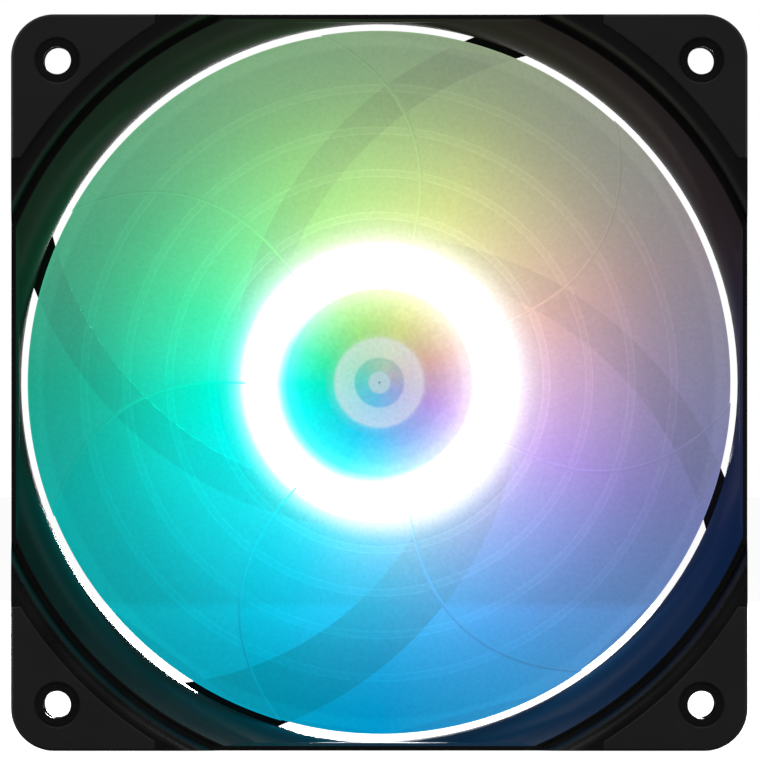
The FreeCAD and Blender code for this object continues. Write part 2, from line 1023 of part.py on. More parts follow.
def blade_point(radius, along, rise):
    """A point of a blade's surface: along is 0 at the leading edge and 1 at the trailing edge,
    rise is 1 on the front face and -1 on the rear face, or more to stand off it."""
    share = (radius - number("hub_radius")) / number("blade_tip - hub_radius")
    sweep = number("blade_sweep + blade_back_sweep") * share**2
    middle = sweep - number("blade_back_sweep") * share
    span = number("blade_span")
    angle = math.radians(middle + span * (0.5 - along))
    root, tip = number("blade_height_root"), number("blade_height_tip")
    height = root + (tip - root) * share
    camber = number("blade_camber")
    fall = along + camber * (along**2 - along)
    front = number("blade_front") - number("blade_front_drop") * share
    slope = height * (1 + camber * (2 * along - 1)) / (radius * math.radians(span))
    thick_root, thick_tip = number("blade_thick_root"), number("blade_thick_tip")
    thick = thick_root + (thick_tip - thick_root) * share
    half = thick / 2 * (0.5 + 0.5 * math.sin(math.pi * along**0.8))
    upright = half * math.sqrt(1 + slope**2)
    stand_off = (rise - math.copysign(1, rise)) if abs(rise) > 1 else 0
    side = max(-1, min(1, rise))
    level = front - height * fall + side * upright + stand_off
    return Vector(radius * math.cos(angle), radius * math.sin(angle), level)


def patch(radii, alongs, rise):
    """A smooth surface through a grid of blade points."""
    grid = [[blade_point(r, a, rise) for a in alongs] for r in radii]
    surface = Part.BSplineSurface()
    surface.interpolate(grid)
    return surface


def between(upper, lower):
    """The closed solid between two surfaces that lie one above the other."""
    faces = [upper.toShape(), lower.toShape()]
    for upper_edge, lower_edge in (
        (upper.uIso(0), lower.uIso(0)),
        (upper.uIso(1), lower.uIso(1)),
        (upper.vIso(0), lower.vIso(0)),
        (upper.vIso(1), lower.vIso(1)),
    ):
        faces.append(Part.makeRuledSurface(upper_edge.toShape(), lower_edge.toShape()))
    sewn = Part.makeCompound(faces)
    sewn.sewShape(1e-4)
    solid = Part.Solid(sewn.Shells[0])
    return solid if solid.Volume > 0 else solid.reversed()


def spaced(first, last, count):
    return [first + (last - first) * i / (count - 1) for i in range(count)]


def blade_shape():
    """One blade, with fine raised ribs across its front face."""
    root, tip = number("blade_root"), number("blade_tip")
    radii, alongs = spaced(root, tip, 9), spaced(0, 1, 11)
    shape = between(patch(radii, alongs, 1), patch(radii, alongs, -1))
    rib_rise = number("rib_rise")
    for rib in range(RIBS):
        start = number("rib_first") + number("rib_pitch") * rib - number("rib_width") / 2
        radii = spaced(start, start + number("rib_width"), 3)
        alongs = spaced(0.03, 0.97, 11)
        strip = between(patch(radii, alongs, 1 + rib_rise), patch(radii, alongs, -0.2))
        shape = shape.fuse(strip)
    return shape.removeSplitter()


def impeller():
    """The hub and its blades, moulded in one piece."""
    shape = blade_shape()
    parts = [hub_body()]
    for index in range(BLADES):
        blade = doc.addObject("Part::Feature", f"blade_{index + 1}")
        blade.Shape = shape
        blade.Placement = Placement(Vector(), Rotation(Vector(0, 0, 1), 360 / BLADES * index))
        parts.append(blade)
    whole = doc.addObject("Part::MultiFuse", "impeller")
    whole.Label = "impeller"
    whole.Shapes = parts
    whole.Refine = False
    whole.Placement = UPRIGHT
    return keep(whole)


def rotor_parts():
    yoke = new_body("rotor_yoke")
    inner = "yoke_radius - yoke_wall"
    turned(
        yoke,
        "yoke_cup",
        [
            ("bushing_radius", "hub_ceiling - yoke_wall"),
            (inner, "hub_ceiling - yoke_wall"),
            (inner, "yoke_bottom"),
            ("yoke_radius", "yoke_bottom"),
            ("yoke_radius", "hub_ceiling"),
            ("bushing_radius", "hub_ceiling"),
        ],
    )
    keep(yoke)
    ring("ring_magnet", "magnet_inner", inner, "magnet_bottom", "magnet_top")
    bushing = new_body("shaft_bushing")
    turned(
        bushing,
        "bushing_turning",
        [
            ("shaft_radius", "bushing_bottom"),
            ("bushing_flange", "bushing_bottom"),
            ("bushing_flange", "hub_ceiling - yoke_wall"),
            ("bushing_radius", "hub_ceiling - yoke_wall"),
            ("bushing_radius", "hub_ceiling"),
            ("shaft_radius", "hub_ceiling"),
        ],
    )
    keep(bushing)
    shaft()
    retaining_clip()


# ---------------------------------------------------------------- build, check and write


def check_objects():
    """Stops if any object failed, or any piece isn't a set of valid closed solids."""
    failed = [o.Name for o in doc.Objects if {"Invalid", "Error"} & set(o.State)]
    if failed:
        raise RuntimeError(f"these objects failed: {failed}")
    for piece in pieces:
        shape = piece.Shape
        if shape.isNull() or not shape.isValid() or not shape.Solids:
            raise RuntimeError(f"{piece.Label} has no valid solid")


def write_pieces():
    os.makedirs("parts", exist_ok=True)
    for piece in pieces:
        piece.Shape.exportStep(f"parts/{piece.Label}.step")
        box = piece.Shape.BoundBox
        print(
            f"{piece.Label:22s} {len(piece.Shape.Solids)} solid, {piece.Shape.Volume:9.1f} mm3,"
            f" X {box.XMin:6.1f} {box.XMax:6.1f} Y {box.YMin:6.1f} {box.YMax:6.1f}"
            f" Z {box.ZMin:6.1f} {box.ZMax:6.1f}"
        )


housing()
corner_pads()
ring("base_label", "0", "label_radius", "label_recess - label_thick", "label_recess")
bearing_parts()
stator()
electronics()
impeller()
rotor_parts()
doc.recompute()
check_objects()
write_pieces()
print(len(pieces), "pieces")
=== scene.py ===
import json
import math

import bmesh
import bpy
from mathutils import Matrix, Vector

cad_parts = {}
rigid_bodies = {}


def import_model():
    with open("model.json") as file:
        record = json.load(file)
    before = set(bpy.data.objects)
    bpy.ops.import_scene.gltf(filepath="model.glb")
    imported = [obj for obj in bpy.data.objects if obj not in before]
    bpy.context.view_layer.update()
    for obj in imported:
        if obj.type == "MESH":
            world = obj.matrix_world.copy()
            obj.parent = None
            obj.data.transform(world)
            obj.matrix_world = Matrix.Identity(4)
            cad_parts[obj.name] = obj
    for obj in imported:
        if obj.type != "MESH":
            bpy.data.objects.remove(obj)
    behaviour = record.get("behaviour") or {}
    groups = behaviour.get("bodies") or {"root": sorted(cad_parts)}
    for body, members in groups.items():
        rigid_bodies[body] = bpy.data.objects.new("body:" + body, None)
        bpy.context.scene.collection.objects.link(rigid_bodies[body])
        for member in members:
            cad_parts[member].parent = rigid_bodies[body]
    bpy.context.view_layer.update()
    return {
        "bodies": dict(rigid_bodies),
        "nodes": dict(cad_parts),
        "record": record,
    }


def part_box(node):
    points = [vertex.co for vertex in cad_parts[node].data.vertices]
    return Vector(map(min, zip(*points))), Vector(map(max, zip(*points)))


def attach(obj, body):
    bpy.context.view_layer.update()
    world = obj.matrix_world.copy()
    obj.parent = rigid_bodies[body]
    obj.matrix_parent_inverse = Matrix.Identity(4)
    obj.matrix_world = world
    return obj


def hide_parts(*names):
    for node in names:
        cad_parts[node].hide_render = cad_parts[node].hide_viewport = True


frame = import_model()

# ---------------------------------------------------------------- sizes, in metres
#
# The spin axis is the Y axis: the air inlet and the hub's face look along -Y. A turned or swept
# point is given by its radius and its height, which is how far it lies in front of the rear
# mounting plane.

MM = 0.001
FRAME_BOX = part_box("frame")
HUB_FRONT = -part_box("impeller")[0].y
HUB = 22 * MM

BLADES = 7
LAMPS = 8

# A blade runs from the hub to TIP and spans BLADE_SPAN from its leading to its trailing edge.
# Over that it falls by its rise, from BLADE_FRONT at the hub and TIP_DROP lower at its tip.
TIP = 57.4 * MM
BLADE_SPAN = math.radians(52.4)
BLADE_FRONT, TIP_DROP = 21.6 * MM, 1.0 * MM
ROOT_RISE, TIP_RISE = 15.6 * MM, 12.4 * MM
ROOT_THICK, TIP_THICK = 1.9 * MM, 1.4 * MM
# Degrees by the tip that its middle leans back, evenly outwards, and ahead, with the square.
LEAN_BACK, LEAN_AHEAD = 5.0, 27.0
CAMBER = 0.35
# Its leading and trailing edges are rounded over this length.
EDGE_INSET = 0.4 * MM
# It thickens where it meets the hub, by FILLET_HALF each way.
FILLET_REACH, FILLET_HALF = 1.6 * MM, 0.35 * MM
RIB_RADII = [27.3 * MM, 34.25 * MM, 41.2 * MM, 48.15 * MM]
RIB_WIDTH = 1.0 * MM
RIB_HEIGHT = 0.2 * MM

# The ramps that follow the radius run from the axis to here.
RAMP_REACH = 60 * MM
# The walls of the duct out to this radius get painted light from the glow.
PAINTED_SPILL_REACH = 64.6 * MM
# The painted glow's gain over its colour, everywhere and on the hub's face over the lamps.
EVEN_GAIN = 1.08
HOT_GAIN = 2.5
LAMP_POWER = 12.0
LAMP_CUP = 0.5 * MM

CAMERA_DISTANCE = 4.6
VIEW_WIDTH = 0.1238
CAMERA_SIDE, CAMERA_UP = 0.11 * MM, 0.42 * MM

# The glow of the lamps inside the hub by its direction in degrees, counter-clockwise from +X
# seen from the front: rose, gold, green, sea green, turquoise, azure, blue and violet.
NEAR_GLOW = {
    22.5: (0.77, 0.5, 0.45),
    67.5: (0.72, 0.77, 0.32),
    112.5: (0.43, 0.84, 0.3),
    157.5: (0.06, 0.87, 0.45),
    180.0: (0.0, 0.87, 0.62),
    202.5: (0.0, 0.84, 0.79),
    247.5: (0.02, 0.72, 0.93),
    270.0: (0.1, 0.65, 0.94),
    292.5: (0.27, 0.54, 0.92),
    337.5: (0.56, 0.39, 0.84),
}
# The same at the blades' tips, where the colours have blended into a paler, greyer veil.
FAR_GLOW = {
    22.5: (0.48, 0.43, 0.46),
    67.5: (0.46, 0.53, 0.38),
    112.5: (0.36, 0.6, 0.37),
    157.5: (0.14, 0.58, 0.38),
    180.0: (0.03, 0.57, 0.44),
    202.5: (0.01, 0.59, 0.57),
    247.5: (0.0, 0.52, 0.67),
    270.0: (0.0, 0.46, 0.72),
    292.5: (0.07, 0.46, 0.74),
    337.5: (0.32, 0.35, 0.62),
}

# Painted light: the colour of the light that the lamps and blades throw on the black duct around
# them, a hundred times over.
PAINTED_SPILL_GLOW = {
    22.5: (1.2, 0.7, 1.0),
    67.5: (1.1, 0.9, 0.6),
    112.5: (0.6, 1.2, 0.6),
    157.5: (0.1, 1.6, 0.5),
    202.5: (0.0, 1.2, 0.9),
    247.5: (0.0, 1.5, 1.9),
    292.5: (0.0, 1.5, 4.6),
    337.5: (0.2, 1.1, 4.8),
}


def spot(x, y, height):
    """A point from its place seen from the front and its height."""
    return Vector((x, -height, y))


def around(radius, angle, height):
    return spot(radius * math.cos(angle), radius * math.sin(angle), height)


# ---------------------------------------------------------------- materials


class Nodes:
    """A node tree, with short ways to add the nodes that this scene uses."""

    def __init__(self, tree):
        self.tree = tree

    def plug(self, value, socket):
        if isinstance(value, bpy.types.NodeSocket):
            self.tree.links.new(value, socket)
        elif isinstance(value, tuple) and socket.type == "RGBA":
            socket.default_value = (*value, 1)
        else:
            socket.default_value = value

    def node(self, kind, *values, **settings):
        node = self.tree.nodes.new("ShaderNode" + kind)
        for key, value in settings.items():
            setattr(node, key, value)
        for value, socket in zip(values, node.inputs):
            if value is not None:
                self.plug(value, socket)
        return node

    def place(self, follows=None):
        """The point being shaded, in its object's frame or that of an object it follows."""
        return self.node("TexCoord", object=follows).outputs["Object"]

    def polar(self, follows=None):
        """The radius from the spin axis in metres, and the share of a turn from -X."""
        x, _, z = self.node("SeparateXYZ", self.place(follows=follows)).outputs
        radius = self.math("SQRT", self.math("ADD", self.math("POWER", x, 2.0),
                                             self.math("POWER", z, 2.0)))
        angle = self.math("ARCTAN2", z, x)
        return radius, self.math("ADD", self.math("DIVIDE", angle, math.tau), 0.5)

    def toward(self, degrees, radius, follows=None):
        """How nearly a point lies in a direction from the spin axis: 1 in it, 0 to its sides."""
        x, _, z = self.node("SeparateXYZ", self.place(follows=follows)).outputs
        aim = math.radians(degrees)
        reach = self.math("ADD", self.math("MULTIPLY", x, math.cos(aim)),
                          self.math("MULTIPLY", z, math.sin(aim)))
        return self.math("DIVIDE", reach, self.math("MAXIMUM", radius, 1 * MM), clamp=True)

    def math(self, operation, first, second=0.0, clamp=False):
        node = self.node("Math", first, second, operation=operation, use_clamp=clamp)
        return node.outputs[0]

    def noise(self, scale, detail=2.0, at=None):
        node = self.node("TexNoise", at or self.place())
        node.inputs["Scale"].default_value = scale
        node.inputs["Detail"].default_value = detail
        return node.outputs["Fac"]

    def remap(self, value, to_low, to_high, low=0.3, high=0.7):
        """A value, such as a noise, spread from low..high onto to_low..to_high."""
        return self.node("MapRange", value, low, high, to_low, to_high).outputs[0]

    def ramp(self, value, stops):
        """Colours or single numbers at places from 0 to 1."""
        node = self.node("ValToRGB", value)
        elements = node.color_ramp.elements
        while len(elements) < len(stops):
            elements.new(1)
        for element, (place, colour) in zip(elements, stops):
            element.position = place
            rgb = colour if isinstance(colour, tuple) else (colour,) * 3
            element.color = (*rgb, 1)
        return node.outputs["Color"]

    def blend(self, factor, first, second, how="MIX"):
        node = self.node("Mix", data_type="RGBA", blend_type=how)
        colours = [s for s in node.inputs if s.type == "RGBA"]
        self.plug(factor, node.inputs["Factor"])
        self.plug(first, colours[0])
        self.plug(second, colours[1])
        return next(s for s in node.outputs if s.type == "RGBA")

    def attribute(self, name):
        return self.node("Attribute", attribute_name=name).outputs["Fac"]


class Shader(Nodes):
    """A new material with a Principled shader."""

    def __init__(self, name, **settings):
        self.material = bpy.data.materials.new(name)
        self.material.use_nodes = True
        super().__init__(self.material.node_tree)
        self.principled = self.tree.nodes["Principled BSDF"]
        self.output = self.tree.nodes["Material Output"]
        self.set(**settings)

    def set(self, **settings):
        """Sets sockets of the shader, named in lower case: base_color, roughness and so on."""
        sockets = {s.name.lower().replace(" ", "_"): s for s in self.principled.inputs}
        for key, value in settings.items():
            self.plug(value, sockets[key])

    def bump(self, height, distance):
        node = self.node("Bump")
        node.inputs["Distance"].default_value = distance
        self.plug(height, node.inputs["Height"])
        self.set(normal=node.outputs["Normal"])


def moulded(name, colour, roughness, grain=0.00002, specular=0.5, scale=2600):
    """Moulded plastic or rubber: fine grain, and a slightly uneven gloss and tone."""
    shader = Shader(name, specular_ior_level=specular)
    cloud = shader.noise(90, 3)
    darker = tuple(c * 0.8 for c in colour)
    shader.set(
        base_color=shader.blend(shader.remap(cloud, 0.0, 1.0), darker, colour),
        roughness=shader.remap(cloud, roughness - 0.05, roughness + 0.05),
    )
    shader.bump(shader.noise(scale, 2), grain)
    return shader.material


def ring_of(shader, turn, glow):
    """The colour of a glow in a direction given as its share of a turn from -X."""
    stops = sorted(((degrees / 360 + 0.5) % 1, colour) for degrees, colour in glow.items())
    if stops[0][0] > 0:
        seam = tuple((a + b) / 2 for a, b in zip(stops[0][1], stops[-1][1]))
        stops = [(0.0, seam), *stops]
    return shader.ramp(turn, [*stops, (1.0, stops[0][1])])


def glow_stops(*pairs):
    """Ramp stops from pairs of a radius in mm and a brightness or colour."""
    return [(radius * MM / RAMP_REACH, level) for radius, level in pairs]


def duct_plastic(name):
    """Black plastic, with painted light: a faint emission in the glow's colours on the duct's
    walls that face the axis.
    """
    shader = Shader(name, specular_ior_level=0.16)
    cloud = shader.noise(90, 3)
    radius, turn = shader.polar()
    normal = shader.node("TexCoord").outputs["Normal"]
    outward = shader.node("VectorMath", shader.place(), (1, 0, 1), operation="MULTIPLY")
    outward = shader.node("VectorMath", outward.outputs[0], operation="NORMALIZE")
    facing = shader.node("VectorMath", outward.outputs[0], normal, operation="DOT_PRODUCT")
    inward = shader.remap(facing.outputs["Value"], 0.0, 0.01, -0.05, -0.4)
    # Painted light spill from the glow, on walls that face the axis inside the lit radius.
    lit = shader.math("MULTIPLY", inward, shader.math("LESS_THAN", radius, PAINTED_SPILL_REACH))
    shader.set(
        base_color=shader.blend(shader.remap(cloud, 0.0, 1.0), (0.002, 0.002, 0.002),
                                (0.003, 0.003, 0.0031)),
        roughness=shader.remap(cloud, 0.29, 0.39),
        emission_color=ring_of(shader, turn, PAINTED_SPILL_GLOW),
        emission_strength=lit,
    )
    shader.bump(shader.noise(2600, 2), 0.00002)
    return shader.material


def turned_metal(name, colour, roughness):
    """Metal turned about the spin axis, with fine rings along it."""
    shader = Shader(name, metallic=1.0)
    radius, _ = shader.polar()
    height = shader.node("SeparateXYZ", shader.place()).outputs[1]
    along = shader.node("CombineXYZ", radius, height, 0.0).outputs[0]
    rings = shader.noise(9000, 1, along)
    darker = tuple(c * 0.72 for c in colour)
    shader.set(
        base_color=shader.blend(shader.remap(rings, 0.0, 1.0), darker, colour),
        roughness=shader.remap(rings, roughness - 0.06, roughness + 0.08),
    )
    shader.bump(rings, 0.00001)
    return shader.material


def laminations(name):
    """The edges of thin steel sheets, stacked along the spin axis."""
    shader = Shader(name, metallic=1.0)
    height = shader.node("SeparateXYZ", shader.place()).outputs[1]
    gap = shader.math("PINGPONG", shader.math("ADD", height, 1.0), 0.25 * MM)
    line = shader.remap(gap, 0.0, 1.0, 0.0, 0.05 * MM)
    shader.set(
        base_color=shader.blend(line, (0.05, 0.05, 0.055), (0.42, 0.43, 0.45)),
        roughness=shader.remap(shader.noise(700), 0.35, 0.55),
    )
    shader.bump(line, 0.00004)
    return shader.material


def printed_board(name):
    """White solder mask over copper tracks that show as a faint relief."""
    shader = Shader(name, specular_ior_level=0.5, coat_weight=0.2)
    cells = shader.node("TexVoronoi", shader.place(), feature="DISTANCE_TO_EDGE")
    cells.inputs["Scale"].default_value = 260
    track = shader.remap(cells.outputs["Distance"], 0.0, 1.0, 0.06, 0.09)
    shader.set(
        base_color=shader.blend(track, (0.52, 0.55, 0.50), (0.74, 0.75, 0.72)),
        roughness=shader.remap(shader.noise(900), 0.3, 0.42),
    )
    shader.bump(track, 0.00003)
    return shader.material


def enamelled_copper(name):
    """Copper wire under clear enamel, with an uneven tone."""
    shader = Shader(name, metallic=1.0, coat_weight=0.6, coat_roughness=0.15)
    tone = shader.remap(shader.noise(1500, 3), 0.0, 1.0)
    shader.set(
        base_color=shader.blend(tone, (0.48, 0.16, 0.06), (0.72, 0.31, 0.13)),
        roughness=shader.remap(shader.noise(2500), 0.22, 0.36),
    )
    return shader.material


def blank_label(name):
    """A plain dark film with a fine satin grain and a lighter printed border ring."""
    shader = Shader(name, specular_ior_level=0.35)
    radius, _ = shader.polar()
    border = shader.math("COMPARE", radius, 17.9 * MM)
    border.node.inputs[2].default_value = 0.25 * MM
    tone = shader.remap(shader.noise(3200, 2), 0.0, 1.0)
    film = shader.blend(tone, (0.018, 0.018, 0.02), (0.03, 0.03, 0.033))
    shader.set(
        base_color=shader.blend(border, film, (0.16, 0.16, 0.17)),
        roughness=shader.remap(shader.noise(500), 0.4, 0.55),
    )
    shader.bump(tone, 0.000008)
    return shader.material


def lamp_material(name, colour):
    """A white package whose cup shines in the lamp's own colour."""
    shader = Shader(name, roughness=0.35)
    height = shader.node("SeparateXYZ", shader.place()).outputs[1]
    face = shader.math("LESS_THAN", height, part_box("lamp_1")[0].y + LAMP_CUP)
    grain = shader.remap(shader.noise(2400), 0.0, 1.0)
    shader.set(
        base_color=shader.blend(grain, (0.78, 0.78, 0.75), (0.88, 0.88, 0.85)),
        emission_color=colour,
        emission_strength=shader.math("MULTIPLY", face, LAMP_POWER),
    )
    return shader.material


def white_core(shader, radius, housing):
    """The painted brightness of the white ring of light over the lamps: soft outside, with a
    painted plume that reaches down from it, and with a crisper edge on the left."""
    beyond = shader.math("MAXIMUM", 0.0, shader.math("SUBTRACT", radius, 19 * MM))
    down = shader.math("POWER", shader.toward(285, radius, housing), 2.0)
    plume = shader.math("MULTIPLY", beyond, shader.math("MULTIPLY", down, 0.34))
    near = shader.math("DIVIDE", shader.math("SUBTRACT", radius, plume), RAMP_REACH)
    core = (13, 0.0), (15, 0.04), (16, 0.2), (17, 0.58), (18.5, 0.88), (20.5, 0.92), (22, 0.72)
    soft = shader.ramp(near, glow_stops(
        *core, (23, 0.38), (24, 0.16), (26, 0.1), (28, 0.04), (31, 0.0)))
    crisp = shader.ramp(near, glow_stops(*core, (23, 0.36), (24, 0.14), (25, 0.03), (26.5, 0.0)))
    left = shader.remap(shader.toward(203, radius, housing), 0.0, 1.0, 0.45, 0.95)
    return shader.blend(left, soft, crisp)


def hub_middle(shader, out, glow):
    """The painted glow, greyed by the thick middle of the hub in two rings round a small centre
    mark.
    """
    dial = (0.40, 0.58, 0.64)
    ring = (0.22, 0.46, 0.64)
    grey = shader.ramp(out, glow_stops(
        (0, (0.05, 0.09, 0.12)), (0.1, (0.3, 0.45, 0.5)), (0.3, dial), (1.75, dial),
        (1.9, ring), (3.95, ring), (4.1, (0.60, 0.70, 0.78)), (7.3, (0.68, 0.72, 0.78))))
    calm = shader.ramp(out, glow_stops(
        (0, 0.95), (1.75, 0.95), (1.9, 0.5), (3.95, 0.5), (4.1, 0.55), (7.1, 0.6), (7.6, 0.1),
        (9.0, 0.0)))
    return shader.blend(calm, glow, grey)


def lit_plastic(name, housing):
    """Frosted plastic with the light of the ring of lamps painted on it as an emission, and
    clear enough to show the struts dimly.

    The painted glow keeps its place on the housing while the rotor turns. Its strength falls
    with distance from the lamps, and where it is strong it washes out towards white. Blade edges
    and ribs get painted highlights."""
    shader = Shader(name, specular_ior_level=0.06, ior=1.49)
    radius, turn = shader.polar(housing)
    out = shader.math("DIVIDE", radius, RAMP_REACH)
    far = shader.ramp(out, glow_stops((28, 0.0), (36, 0.35), (44, 0.67), (50, 0.9), (54, 1.0)))
    hue = shader.blend(far, ring_of(shader, turn, NEAR_GLOW), ring_of(shader, turn, FAR_GLOW))
    # Painted light: the glow's strength falls with distance from the lamps and is weaker on rear
    # faces.
    strength = shader.math("MULTIPLY", 20.0, shader.ramp(out, glow_stops(
        (0, 0.03), (4, 0.03), (8.3, 0.033), (10.6, 0.044), (13, 0.07), (15, 0.13), (17, 0.4),
        (19, 0.8), (21, 0.5), (22, 0.2), (24, 0.125), (26, 0.1), (28, 0.078), (30, 0.064),
        (34, 0.054), (39, 0.044), (44, 0.036), (49, 0.032), (54.6, 0.03), (55.2, 0.034),
        (57.4, 0.033))))
    front = shader.attribute("front")
    strength = shader.math("MINIMUM", strength, shader.remap(front, 0.9, 20.0, 0.0, 1.0))
    dark = shader.node("Gamma", shader.node("Invert", 1.0, hue).outputs[0], strength)
    # Painted light: the white ring over the lamps, on the front faces only.
    white = shader.blend(front, (0.0, 0.0, 0.0), white_core(shader, radius, housing))
    coloured = shader.node("Invert", 1.0, dark.outputs[0]).outputs[0]
    glow = shader.blend(1.0, white, coloured, "SCREEN")
    fine = shader.remap(shader.noise(1600, 3), 0.94, 1.06)
    # Painted highlights brighten the glow on blade edges and ribs.
    painted_highlight = shader.remap(shader.attribute("painted_highlight"), 1.0, 1.2, 0.0, 1.0)
    # A painted hot ring of glow on the hub's face over the lamps.
    over_lamps = shader.ramp(out, glow_stops((15, 0.0), (17.5, 1.0), (21.5, 1.0), (23, 0.0)))
    hot = shader.remap(shader.math("MULTIPLY", over_lamps, front), EVEN_GAIN, HOT_GAIN, 0, 1)
    gain = shader.math("MULTIPLY", shader.math("MULTIPLY", fine, painted_highlight), hot)
    shader.set(
        base_color=(0.005, 0.005, 0.0055),
        roughness=shader.remap(shader.noise(700), 0.42, 0.54),
        emission_color=hub_middle(shader, out, glow),
        emission_strength=gain,
    )
    shader.bump(shader.noise(2200, 2), 0.000012)
    # The see-through is tinted with the painted glow's hue.
    clear = shader.node("BsdfTransparent", hue)
    share = shader.remap(shader.attribute("thin"), 1.0, 0.6, 0.0, 1.0)
    mix = shader.node("MixShader", share, clear.outputs[0], shader.principled.outputs[0])
    shader.tree.links.new(mix.outputs[0], shader.output.inputs["Surface"])
    return shader.material


# ---------------------------------------------------------------- rotor


def blade_section(radius, along):
    """Angle, height of the middle surface and upright half thickness at a point of a blade."""
    share = (radius - HUB) / (TIP - HUB)
    middle = math.radians(LEAN_AHEAD * share**2 - LEAN_BACK * share)
    angle = middle + BLADE_SPAN * (0.5 - along)
    rise = ROOT_RISE + (TIP_RISE - ROOT_RISE) * share
    fall = along + CAMBER * (along**2 - along)
    slope = rise * (1 + CAMBER * (2 * along - 1)) / (radius * BLADE_SPAN)
    thick = ROOT_THICK + (TIP_THICK - ROOT_THICK) * share
    half = thick / 2 * (0.5 + 0.5 * math.sin(math.pi * along**0.8))
    return angle, BLADE_FRONT - TIP_DROP * share - rise * fall, half * math.hypot(1, slope)


def rib_rise(radius):
    """How far the front face stands up at a radius, over its fine concentric ribs."""
    for centre in RIB_RADII:
        off = abs(radius - centre)
        if off < RIB_WIDTH / 2 - 0.05 * MM:
            return RIB_HEIGHT
    return 0.0


def blade_radii():
    """Stations out along a blade: closer together at each rib's walls and at the tip."""
    first, step = 20.95 * MM, 0.9 * MM
    radii = [first + step * i for i in range(40)]
    for centre in RIB_RADII:
        radii = [r for r in radii if abs(r - centre) > RIB_WIDTH * 0.9]
        for side in (-1, 1):
            for off in (0.38, 0.5, 0.58, 0.7):
                radii.append(centre + side * off * MM)
    radii = [r for r in radii if r < TIP - 0.5 * MM]
    return sorted(radii) + [TIP - 0.3 * MM, TIP - 0.1 * MM, TIP - 0.02 * MM]


def add_blade(skin, index):
    """One blade as a closed skin: front face, rounded trailing edge, rear face, leading edge."""
    radii = blade_radii()
    steps = 40
    turn = math.tau * index / BLADES
    rows = []
    for radius in radii:
        thin = 1.0
        if radius > TIP - 0.25 * MM:
            thin = 0.82 if radius < TIP - 0.05 * MM else 0.55
        root = min(1.0, max(0.0, 1 - (radius - HUB) / FILLET_REACH)) ** 2
        inset = EDGE_INSET / (radius * BLADE_SPAN)
        row = []
        for side in (1, -1):
            for step in range(steps + 1):
                along = step / steps if side > 0 else 1 - step / steps
                kept = inset + along * (1 - 2 * inset)
                angle, level, half = blade_section(radius, kept)
                half = half * thin + FILLET_HALF * root
                face = level + side * half
                if side > 0 and 0.01 < along < 0.99:
                    face += rib_rise(radius)
                row.append((around(radius, turn + angle, face), radius, along, side))
            end = 1.0 if side > 0 else 0.0
            angle, level, half = blade_section(radius, end)
            for bulge in (0.5, 0.0, -0.5):
                inner = blade_section(radius, abs(end - inset))
                reach = math.cos(math.asin(bulge))
                mixed = inner[0] + (angle - inner[0]) * reach
                height = inner[1] + (level - inner[1]) * reach
                height += side * bulge * inner[2] * thin
                row.append((around(radius, turn + mixed, height), radius, end, 0))
        rows.append(row)
    skin.grid(rows)


class Skin:
    """Collects the points and faces of one piece. Each point is marked with how much painted
    highlight it gets, how thin the plastic is there and whether it is on the front."""

    def __init__(self):
        self.points, self.faces = [], []
        self.marks = {"painted_highlight": [], "thin": [], "front": []}

    def add(self, point, painted_highlight=0.0, thin=0.0, front=0.0):
        self.points.append(point)
        for name, value in (("painted_highlight", painted_highlight), ("thin", thin), ("front", front)):
            self.marks[name].append(value)
        return len(self.points) - 1

    def grid(self, rows):
        """Blade rows of (point, radius, along, side), each row a closed loop."""
        table = []
        for row in rows:
            line = []
            for point, radius, along, side in row:
                # Painted highlights: blade rims and tips get the most, rib walls less and rib
                # tops a little.
                rim = 1.0 if side == 0 or radius > TIP - 0.15 * MM else 0.0
                near = min(abs(abs(radius - c) - RIB_WIDTH / 2) for c in RIB_RADII)
                wall = 0.8 if side > 0 and near < 0.1 * MM and 0.01 < along < 0.99 else 0.0
                thin = min(1.0, max(0.0, (radius - 23 * MM) / (3 * MM)))
                top = 0.25 if side > 0 and rib_rise(radius) else 0.0
                line.append(self.add(point, max(rim, wall, top), thin, float(side > 0)))
            table.append(line)
        for low, high in zip(table, table[1:]):
            count = len(low)
            for i in range(count):
                j = (i + 1) % count
                self.faces.append((low[i], high[i], high[j], low[j]))
        self.faces.append(tuple(table[0]))
        self.faces.append(tuple(reversed(table[-1])))

    def turned(self, profile, segments, face):
        """A profile of (radius, height) from axis to axis, turned about the spin axis. Points
        more than 2 mm above the height called face count wholly as its front."""
        rings = []
        for radius, height in profile:
            front = min(1.0, max(0.0, (height - face) / (2 * MM)))
            if radius == 0:
                rings.append([self.add(spot(0, 0, height), front=front)])
                continue
            rings.append([
                self.add(around(radius, math.tau * i / segments, height), front=front)
                for i in range(segments)
            ])
        for low, high in zip(rings, rings[1:]):
            for i in range(segments):
                j = (i + 1) % segments
                corners = [low[i % len(low)], low[j % len(low)],
                           high[j % len(high)], high[i % len(high)]]
                self.faces.append(tuple(dict.fromkeys(corners)))

    def piece(self, name, material, body, smooth=40):
        mesh = bpy.data.meshes.new(name)
        mesh.from_pydata(self.points, [], self.faces)
        for label, values in self.marks.items():
            mesh.attributes.new(label, "FLOAT", "POINT").data.foreach_set("value", values)
        mesh.materials.append(material)
        mesh.validate()
        return placed(name, mesh, body, smooth)


def placed(name, mesh, body, smooth):
    """Puts a mesh in the scene with outward faces and smooth shading up to an angle."""
    work = bmesh.new()
    work.from_mesh(mesh)
    bmesh.ops.recalc_face_normals(work, faces=work.faces)
    for face in work.faces:
        face.smooth = True
    for edge in work.edges:
        edge.smooth = edge.calc_face_angle(0) < math.radians(smooth)
    work.to_mesh(mesh)
    work.free()
    made = bpy.data.objects.new(name, mesh)
    bpy.context.scene.collection.objects.link(made)
    weigh = made.modifiers.new("flat_faces_stay_flat", "WEIGHTED_NORMAL")
    weigh.weight = 100
    weigh.keep_sharp = True
    if body:
        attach(made, body)
    return made


